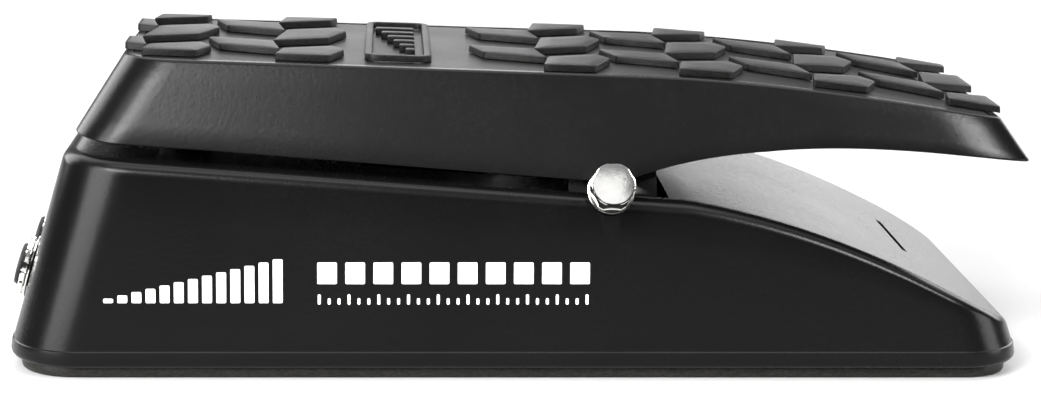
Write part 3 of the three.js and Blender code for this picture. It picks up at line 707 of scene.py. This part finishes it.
LATTICE_PITCH = 28 * MM
LANE_PITCH = 13.5 * MM
LATTICE_STEPS = (-3, -2, 0, 1, 2, 3)
EVEN_LANES = {
    "places": (-1, 1), "start": -0.5 * MM,
    "corners": ((-5.6, -2.5), (7.4, -7), (5.5, 3.9), (-8.6, 6.6)),
}
ODD_LANES = {
    "places": (-2, 0, 2), "start": 12.5 * MM,
    "corners": ((-7.6, -8.9), (4, -3.3), (7.9, 7.8), (5.5, 12.7), (-5.2, 7.4)),
}
BLOCK_EDGE = 0.25 * MM
BLOCK_FOOT = 0.05 * MM                # blocks start just above the treadle's lip, which some reach over
BLOCK_CORNER = 0.7 * MM
SHORTEST_EDGE = 0.4 * MM
LATTICE_TOP = BLOCK_TOP - 0.05 * MM
PLAQUE_TOP = BLOCK_TOP - 0.1 * MM
SHEET_EDGE = 0.35 * MM
BLOCK_BOUNDS = {
    "toe": -81.8, "heel": 101, "cut": 5,
    "toe_half": 32.6, "waist_x": 10, "waist_half": 30.4, "heel_half": 34.6,
}
PLAQUE = {
    "x": -24.3 * MM, "half_length": 7 * MM, "half_width": 25 * MM, "radius": 3 * MM, "frame": 1.6 * MM,
}
SCALE_BARS = {
    "count": 6, "pitch": 6 * MM, "width": 2.4 * MM, "shortest": 2 * MM, "growth": 1.3 * MM,
    "foot": 3.6 * MM, "corner": 0.5 * MM,
}


def clip_polygon(points, boundary):
    """The part of a polygon inside a convex anticlockwise boundary."""
    for start, end in zip(boundary, np.roll(boundary, -1, axis=0)):
        edge = end - start
        if np.hypot(*edge) < 1e-9 or not len(points):
            continue
        kept = []
        depth = [edge[0] * (p[1] - start[1]) - edge[1] * (p[0] - start[0]) for p in points]
        for i, point in enumerate(points):
            before, depth_before = points[i - 1], depth[i - 1]
            if (depth[i] >= 0) != (depth_before >= 0):
                share = depth_before / (depth_before - depth[i])
                kept.append(before + (point - before) * share)
            if depth[i] >= 0:
                kept.append(point)
        points = kept
    return points


def tidy_polygon(points):
    """Leaves out corners that are too close to the one before."""
    kept = []
    for point in points:
        if not kept or np.hypot(*(point - kept[-1])) > SHORTEST_EDGE:
            kept.append(point)
    if len(kept) > 1 and np.hypot(*(kept[0] - kept[-1])) <= SHORTEST_EDGE:
        kept.pop()
    return kept


def rounded_polygon(points, radius, steps=4):
    """Rounds the corners of an anticlockwise polygon."""
    count = len(points)
    rounded = []
    for i, corner in enumerate(points):
        before, after = points[i - 1] - corner, points[(i + 1) % count] - corner
        reach = min(radius, np.hypot(*before) * 0.4, np.hypot(*after) * 0.4)
        start = corner + before / np.hypot(*before) * reach
        end = corner + after / np.hypot(*after) * reach
        for t in np.linspace(0, 1, steps):
            rounded.append((1 - t) ** 2 * start + 2 * t * (1 - t) * corner + t ** 2 * end)
    return np.array(rounded)


def raised_block(bm, outline, top, draft=0.12 * MM):
    """A block on the mat: drafted sides, a rounded top edge and a faintly crowned top."""
    edge = BLOCK_EDGE
    middle = outline.mean(0)
    spread = np.hypot(*(outline - middle).T).mean()

    def ring(pull, lift):
        flat = middle + (outline - middle) * (1 - pull / spread)
        height = top_height(flat[:, 0]) + lift
        return [bm.verts.new((x, y, z)) for (x, y), z in zip(flat, height)]

    rows = [ring(-draft, BLOCK_FOOT), ring(0, top - edge)]
    for angle in (30, 60, 90):
        turn = math.radians(angle)
        rows.append(ring(edge * (1 - math.cos(turn)), top - edge * (1 - math.sin(turn))))
    rows.append(ring(spread * 0.5, top + 0.05 * MM))
    skin(bm, rows)
    bm.faces.new(rows[-1])
    bm.faces.new(rows[0][::-1])


def block_boundary():
    """The outline that the blocks are trimmed to, with its corners cut off."""
    bounds = BLOCK_BOUNDS
    toe, heel, cut = bounds["toe"], bounds["heel"], bounds["cut"]
    left = [
        (toe, cut - bounds["toe_half"]), (toe + cut, -bounds["toe_half"]),
        (bounds["waist_x"], -bounds["waist_half"]),
        (heel - cut, -bounds["heel_half"]), (heel, cut - bounds["heel_half"]),
    ]
    return np.array(left + [(x, -y) for x, y in reversed(left)]) * MM


def tread_blocks():
    """Outlines of the staggered blocks, lane by lane, leaving out the plaque's column."""
    boundary = block_boundary()
    blocks = []
    for lanes in (EVEN_LANES, ODD_LANES):
        corners = np.array(lanes["corners"]) * MM
        for place in lanes["places"]:
            for step in LATTICE_STEPS:
                centre = np.array((lanes["start"] + step * LATTICE_PITCH, place * LANE_PITCH))
                clipped = tidy_polygon(clip_polygon(list(corners + centre), boundary))
                if len(clipped) > 2:
                    blocks.append(rounded_polygon(clipped, BLOCK_CORNER))
    return blocks


def plaque_outline(inset):
    half_length, half_width = PLAQUE["half_length"] - inset, PLAQUE["half_width"] - inset
    radius = PLAQUE["radius"] - inset
    points = []
    for sign_x, sign_y, start in ((-1, -1, 180), (1, -1, 270), (1, 1, 0), (-1, 1, 90)):
        for turn in np.linspace(start, start + 90, 7):
            angle = math.radians(turn)
            points.append((
                PLAQUE["x"] + sign_x * (half_length - radius) + radius * math.cos(angle),
                sign_y * (half_width - radius) + radius * math.sin(angle),
            ))
    return np.array(points)


def add_plaque_frame(bm):
    """The plaque's raised rim, a closed ring with rounded top edges."""
    edge = BLOCK_EDGE
    low, top, wide = BLOCK_FOOT, PLAQUE_TOP, PLAQUE["frame"]
    rows = []
    for inset, lift in (
        (0, low), (0, top - edge), (0.3 * edge, top - 0.3 * edge), (edge, top),
        (wide - edge, top), (wide - 0.3 * edge, top - 0.3 * edge), (wide, top - edge), (wide, low),
    ):
        flat = plaque_outline(inset)
        rows.append([bm.verts.new((x, y, top_height(x) + lift)) for x, y in flat])
    skin(bm, rows, closed=True)


def rectangle(x_low, x_high, y_low, y_high):
    return list(np.array([(x_low, y_low), (x_high, y_low), (x_high, y_high), (x_low, y_high)]))


def add_scale_bars(bm):
    """Growing bars inside the plaque, across the treadle."""
    foot = PLAQUE["x"] + SCALE_BARS["foot"]
    half = SCALE_BARS["width"] / 2
    for step in range(SCALE_BARS["count"]):
        y = (step - (SCALE_BARS["count"] - 1) / 2) * SCALE_BARS["pitch"]
        length = SCALE_BARS["shortest"] + step * SCALE_BARS["growth"]
        outline = rectangle(foot - length, foot, y - half, y + half)
        raised_block(bm, rounded_polygon(outline, SCALE_BARS["corner"]), PLAQUE_TOP, draft=0)


def add_sheet(bm):
    """The mat's base sheet, which fills the recess in the treadle."""
    outline = Outline(TREADLE)
    bottom_lift = CLEAR - MAT_RECESS
    edge = outline.on(top_height, MAT_INSET, MAT_TOP)
    down, inward = outline.downward(edge, MAT_INSET), outline.inward(edge, top_height)
    edge_rings = fillet(edge, down, inward, SHEET_EDGE, 5)
    low = outline.on(top_height, MAT_INSET, bottom_lift)
    under = to_spine(low, top_height, bottom_lift, SPINE_SHEET)[::-1]
    over = to_spine(edge_rings[-1], top_height, MAT_TOP, SPINE_SHEET)
    add_rings(bm, [*under, low, *edge_rings, *over])


def add_tread_mat():
    bm = bmesh.new()
    add_sheet(bm)
    for outline in tread_blocks():
        raised_block(bm, outline, LATTICE_TOP)
    add_plaque_frame(bm)
    add_scale_bars(bm)
    mat = new_object("mat", bm)
    finish_piece(mat, "tread_mat_rubber", "treadle", LOOKS["rubber"], ["tread_mat"], smooth=28)


# ------------------------------------------------------------------ pivot

BOLT = {
    "across_flats": 8.4 * MM, "head": 5 * MM, "face_radius": 4.45 * MM, "crown": 0.12 * MM,
    "shoulder": 0.08 * MM, "edge": 0.12 * MM, "flange_radius": 4.9 * MM, "flange": 0.9 * MM,
    "stand": 0.8 * MM, "shank": 2 * MM, "shank_end": -7.6 * MM,
}
DOME_SHARES = (0.985, 0.9, 0.7, 0.5, 0.3, 0)


def bolt_head(low, top):
    """A hex head with turned corners and a faintly domed face."""
    face, crown = BOLT["face_radius"], BOLT["crown"]
    shoulder = face + BOLT["shoulder"]
    turned = [
        (0, low + 0.2 * MM), (shoulder, low + 0.2 * MM), (shoulder, top - crown - 0.3 * MM),
        (face, top - crown - 0.1 * MM), *[(share * face, top - crown * share ** 2) for share in DOME_SHARES],
    ]
    place = Matrix.Identity(4)
    blank = plug(BOLT["across_flats"] / math.sqrt(3), low + 0.1 * MM, top + MM, place, sides=6)
    head = combine(blank, [lathe("tool", turned, place)], "INTERSECT")
    return bevel(head, BOLT["edge"], 2, 25)


def bolt_flange(low, top):
    """The bolt's round flange with its shank."""
    radius, shank, shank_end = BOLT["flange_radius"], BOLT["shank"], BOLT["shank_end"]
    profile = [
        (0, shank_end), (shank, shank_end), (shank, low), (radius - 0.2 * MM, low), (radius, low + 0.2 * MM),
        (radius, top - 0.35 * MM), (radius - 0.12 * MM, top - 0.1 * MM), (radius - 0.4 * MM, top),
        (0, top + 0.1 * MM),
    ]
    return lathe("tool", profile, Matrix.Identity(4), sides=96)


def add_bolt(side, node):
    low = BOLT["stand"]
    flange_top = low + BOLT["flange"]
    head = bolt_head(low, flange_top + BOLT["head"])
    bolt = combine(head, [bolt_flange(low, flange_top)], "UNION")
    bolt.data.transform(on_skirt(side))
    finish_piece(bolt, node + "_chrome", "base", LOOKS["chrome"], [node], smooth=28)


def refined_copy(node, body, slot, width, cuts=()):
    """A copy of a CAD node with its facets merged and its edges rounded."""
    obj = bpy.data.objects.new(node + "_fine", frame["nodes"][node].data.copy())
    bpy.context.scene.collection.objects.link(obj)
    bm = bmesh.new()
    bm.from_mesh(obj.data)
    bmesh.ops.remove_doubles(bm, verts=bm.verts, dist=MERGE)
    bmesh.ops.dissolve_limit(bm, angle_limit=math.radians(1), verts=bm.verts, edges=bm.edges)
    bmesh.ops.recalc_face_normals(bm, faces=bm.faces)
    bm.to_mesh(obj.data)
    bm.free()
    attributes = obj.data.attributes
    if "custom_normal" in attributes:
        attributes.remove(attributes["custom_normal"])
    if cuts:
        combine(obj, cuts, "DIFFERENCE")
    bevel(obj, width)
    finish_piece(obj, node + "_fine", body, LOOKS[slot], [node])


# ------------------------------------------------------------------ jacks

toe_wall_height = 18.8 * MM
toe_origin = Vector((
    HOUSING["toe"] + (toe_wall_height - HOUSING["level"]) * HOUSING["toe_lean"], 0, toe_wall_height,
))
JACK_ROW = {"output_jack": -26 * MM, "aux_jack": 0.0, "input_jack": 26 * MM}
BUSHING = {
    "low": -3 * MM, "proud": 3.3 * MM, "outer": 4.5 * MM, "bore": 3.6 * MM, "pitch": 0.6 * MM,
    "thread": 0.22 * MM,
}
OLD_BUSHING = {"radius": 5 * MM, "low": -3.25 * MM, "high": 6 * MM}
WASHER = {"inner": 4.8 * MM, "outer": 6.6 * MM, "low": 0.3 * MM, "high": 0.7 * MM, "edge": 0.1 * MM}
NUT = {"inner": 4.8 * MM, "outer": 6.2 * MM, "low": MM, "high": 2.2 * MM, "teeth": 16, "groove": 0.25 * MM}
STEPS_PER_TOOTH = 8


def jack_place(y):
    """A place on the toe wall with +Z square out of it."""
    outward = Vector((-math.cos(TOE_TILT), 0, math.sin(TOE_TILT)))
    return along_axis(toe_origin + Vector((0, y, 0)), outward)


def ring_profile(inner, outer, low, high, edge):
    """Section of a flat ring with chamfered edges."""
    return [
        (inner, low + edge), (inner + edge, low), (outer - edge, low), (outer, low + edge),
        (outer, high - edge), (outer - edge, high), (inner + edge, high), (inner, high - edge),
    ]


def threaded_bushing(y):
    """Black jack bushing with a turned thread, a bore and a round mouth."""
    low, proud, outer, bore = BUSHING["low"], BUSHING["proud"], BUSHING["outer"], BUSHING["bore"]
    pitch, root = BUSHING["pitch"], BUSHING["outer"] - BUSHING["thread"]
    profile = [(bore, low)]
    z = low
    while z < proud - 0.6 * MM:
        profile += [(root, z), (outer, z + 0.3 * pitch), (outer, z + 0.5 * pitch), (root, z + 0.8 * pitch)]
        z += pitch
    profile += [
        (outer - 0.1 * MM, proud - 0.4 * MM), (outer - 0.25 * MM, proud - 0.1 * MM),
        (outer - 0.45 * MM, proud), (bore + 0.15 * MM, proud), (bore, proud - 0.2 * MM), (bore, low),
    ]
    return lathe("bushing", profile, jack_place(y), sides=72)


def grooved_nut(y):
    """Chrome ring nut with narrow grooves across its rim."""
    low, high, inner, outer = NUT["low"], NUT["high"], NUT["inner"], NUT["outer"]
    bm = bmesh.new()
    sides = NUT["teeth"] * STEPS_PER_TOOTH
    rows = []
    for radius, z, groove in (
        (inner, low, 0), (outer - 0.3 * MM, low, 0), (outer, low + 0.25 * MM, NUT["groove"]),
        (outer, high - 0.3 * MM, NUT["groove"]), (outer - 0.35 * MM, high, 0),
        (inner + 0.2 * MM, high, 0), (inner, high - 0.15 * MM, 0),
    ):
        row = []
        for step in range(sides):
            angle = 2 * math.pi * step / sides
            r = radius - groove * (step % STEPS_PER_TOOTH == 0)
            row.append(bm.verts.new((r * math.cos(angle), r * math.sin(angle), z)))
        rows.append(row)
    skin(bm, rows, closed=True)
    bm.transform(jack_place(y))
    return new_object("nut", bm)


def add_jacks():
    """Each jack's body without its plain bushing, and the threaded bushing, washer and nut."""
    plastic, chrome = LOOKS["black_plastic"], LOOKS["chrome"]
    for jack, y in JACK_ROW.items():
        refined_copy(jack, "base", "black_plastic", 0.25 * MM, [plug(**OLD_BUSHING, place=jack_place(y))])
        finish_piece(threaded_bushing(y), jack + "_thread", "base", plastic)
        washer = lathe("washer", ring_profile(**WASHER), jack_place(y))
        finish_piece(washer, jack + "_washer_fine", "base", chrome, [jack + "_washer"])
        finish_piece(grooved_nut(y), jack + "_nut_fine", "base", chrome, [jack + "_nut"])


# ------------------------------------------------------------------ side print

PRINT_ROOT = -0.02 * MM               # the ink starts just under the paint's surface
PRINT_LIFT = 0.04 * MM
PRINT_CORNER = 0.25 * MM
TALL = 1.6                            # how much taller the rule's longer marks are

# Rows of upright bars, in millimetres: a rising wedge, a row of plain blocks and a fine rule below it.
WEDGE = {
    "start": -84.4, "low": 16.2, "count": 13, "pitch": 2.88, "width": 2.0,
    "height": 0.9, "growth": 0.67, "tall_every": 0,
}
BARS = {
    "start": -40.8, "low": 20.1, "count": 10, "pitch": 5.72, "width": 4.0,
    "height": 4.4, "growth": 0, "tall_every": 0,
}
RULE = {
    "start": -40.7, "low": 15.9, "count": 28, "pitch": 2.02, "width": 0.6,
    "height": 1.3, "growth": 0, "tall_every": 3,
}


def side_y(z):
    """The housing's left side at a height."""
    return (z - HOUSING["level"]) * HOUSING["side_lean"] - HOUSING["half_width"]


def print_mark(bm, outline):
    """A thin solid laid on the leaning wall, from its outline in the side view."""
    rows = []
    for lift in (PRINT_ROOT, PRINT_LIFT):
        rows.append([bm.verts.new((x, side_y(z) - lift, z)) for x, z in outline])
    skin(bm, rows)
    bm.faces.new(rows[1])
    bm.faces.new(rows[0][::-1])


def add_print():
    """Plain generic graphics on the left side."""
    bm = bmesh.new()
    for mark in (WEDGE, BARS, RULE):
        for step in range(mark["count"]):
            x, low = mark["start"] + step * mark["pitch"], mark["low"]
            height = mark["height"] + step * mark["growth"]
            if mark["tall_every"] and step % mark["tall_every"] == 0:
                height *= TALL
            bar = rectangle(x * MM, (x + mark["width"]) * MM, low * MM, (low + height) * MM)
            print_mark(bm, rounded_polygon(bar, PRINT_CORNER, 3))
    finish_piece(new_object("print", bm), "side_print", "base", PRINT)


# ------------------------------------------------------------------ inside pieces

FINE_COPIES = {
    "base": {
        "block_paint": ("pivot_block_left", "pivot_block_right"),
        "steel": (
            "base_plate", "pivot_axle", "pivot_block_screw_left", "pivot_block_screw_right",
            "pot_bracket", "pot_nut", "mode_switch_body",
            *[f"base_plate_screw_{index}" for index in range(1, 5)],
        ),
        "aluminium": ("potentiometer",),
        "black_plastic": ("trimmer_body",),
        "board": ("circuit_board",),
        "bumper_rubber": ("toe_bumper_left", "toe_bumper_right"),
    },
    "treadle": {
        "bronze": ("pivot_bushing_left", "pivot_bushing_right"),
        "bumper_rubber": ("heel_bumper_left", "heel_bumper_right"),
        "aluminium": ("drive_sector",),
        "spring_steel": ("drive_band",),
        "steel": ("sector_screw_1", "sector_screw_2"),
    },
    "drum": {"aluminium": ("drive_drum",), "spring_steel": ("band_loop",), "steel": ("pot_shaft",)},
    "slider": {"black_plastic": ("mode_switch_slider",)},
    "dial": {"white_plastic": ("trimmer_dial",)},
}
EDGE_WIDTHS = {"spring_steel": 0.05 * MM, "block_paint": 0.4 * MM, "bumper_rubber": 0.8 * MM}
PLAIN_EDGE = 0.2 * MM


def add_fine_copies():
    for body, slots in FINE_COPIES.items():
        for slot, nodes in slots.items():
            for node in nodes:
                refined_copy(node, body, slot, EDGE_WIDTHS.get(slot, PLAIN_EDGE))


# ------------------------------------------------------------------ stage

def add_camera():
    """A long lens low on the pedal's left side, shifted so that the pedal fills the frame."""
    data = bpy.data.cameras.new("camera")
    camera = bpy.data.objects.new("camera", data)
    bpy.context.scene.collection.objects.link(camera)
    data.sensor_width = 36
    data.lens = 84.73
    data.shift_x = 0.1254
    data.clip_start = 0.05
    data.clip_end = 20
    camera.location = (-0.026, -0.530, 0.142)
    camera.rotation_euler = (math.radians(77.8), 0, 0)
    bpy.context.scene.camera = camera


def add_floor():
    """A plain pale floor, 8 m square."""
    bm = bmesh.new()
    bmesh.ops.create_grid(bm, x_segments=1, y_segments=1, size=4)
    floor = new_object("floor", bm)
    nodes = Nodes("pale_floor")
    colour = nodes.mix(nodes.noise(3), (0.42, 0.42, 0.42), (0.44, 0.44, 0.44))
    nodes.link(colour, nodes.shader.inputs["Base Color"])
    nodes.set(metallic=0, specular=0.1)
    floor.data.materials.append(nodes.material)


def add_light(name, place, target, size, power):
    """A soft rectangular lamp that faces a target, with its size in metres and its power in watts."""
    data = bpy.data.lights.new(name, "AREA")
    data.shape = "RECTANGLE"
    data.size, data.size_y = size
    data.energy = power
    light = bpy.data.objects.new(name, data)
    bpy.context.scene.collection.objects.link(light)
    light.location = place
    light.rotation_euler = (Vector(target) - Vector(place)).to_track_quat("-Z", "Y").to_euler()


SKY_RAMPS = (("Y", 0.55, 0.95, 0.25), ("Z", 0.58, 0.8, 0.3))
SKY_DARK = 0.01


def add_sky():
    """A studio that is brighter behind the pedal and overhead, and dark on the camera's side."""
    world = bpy.data.worlds.new("studio")
    world.use_nodes = True
    tree = world.node_tree
    where = tree.nodes.new("ShaderNodeTexCoord")
    split = tree.nodes.new("ShaderNodeSeparateXYZ")
    total = tree.nodes.new("ShaderNodeMath")
    tree.links.new(where.outputs["Generated"], split.inputs["Vector"])
    for index, (axis, start, end, strength) in enumerate(SKY_RAMPS):
        shade = tree.nodes.new("ShaderNodeMapRange")
        shade.interpolation_type = "SMOOTHSTEP"
        shade.inputs["From Min"].default_value = start
        shade.inputs["From Max"].default_value = end
        shade.inputs["To Min"].default_value = SKY_DARK
        shade.inputs["To Max"].default_value = strength
        tree.links.new(split.outputs[axis], shade.inputs["Value"])
        tree.links.new(shade.outputs["Result"], total.inputs[index])
    background = tree.nodes["Background"]
    background.inputs["Color"].default_value = (1, 1, 1, 1)
    tree.links.new(total.outputs["Value"], background.inputs["Strength"])
    bpy.context.scene.world = world


def add_lights():
    centre = (0, 0, 0.03)
    add_light("key", (0, -0.15, 1.2), centre, (1.0, 0.4), 6)
    add_light("overhead", (0.1, 0.6, 1.1), centre, (2.2, 1.0), 18)
    add_light("backdrop", (-0.07, 1.6, 0.5), (-0.04, 0, 0.06), (0.46, 0.8), 3.0)
    add_light("deck_card", (0.52, 1.6, 0.16), (0.07, 0, 0.04), (0.6, 0.32), 1.4)
    add_light("toe_card", (-0.66, -0.6, 0.42), centre, (0.65, 0.8), 21)
    add_light("toe_high_card", (-0.36, -0.6, 0.7), (-0.09, -0.04, 0.05), (0.44, 0.22), 9)
    add_light("heel_card", (0.53, -0.56, 0.66), (0.1, 0, 0.04), (0.26, 0.22), 8)
    add_light("heel_strip", (1.0, -0.3, 0.15), centre, (0.5, 0.35), 4)
    add_light("bolt_card", (0.07, -0.74, 0.56), (0.02, -0.05, 0.04), (0.18, 0.2), 0.14)
    for side_x in (-0.75, 0.75):
        add_light("rear_card", (side_x, 0.62, 0.4), centre, (0.5, 0.55), 5)


bpy.context.scene.view_settings.view_transform = "Standard"

add_camera()
add_floor()
add_sky()
add_lights()
add_housing()
add_bottom_mat()
add_treadle()
add_tread_mat()
add_bolt(-1, "pivot_bolt_left")
add_bolt(1, "pivot_bolt_right")
add_jacks()
add_print()
add_fine_copies()
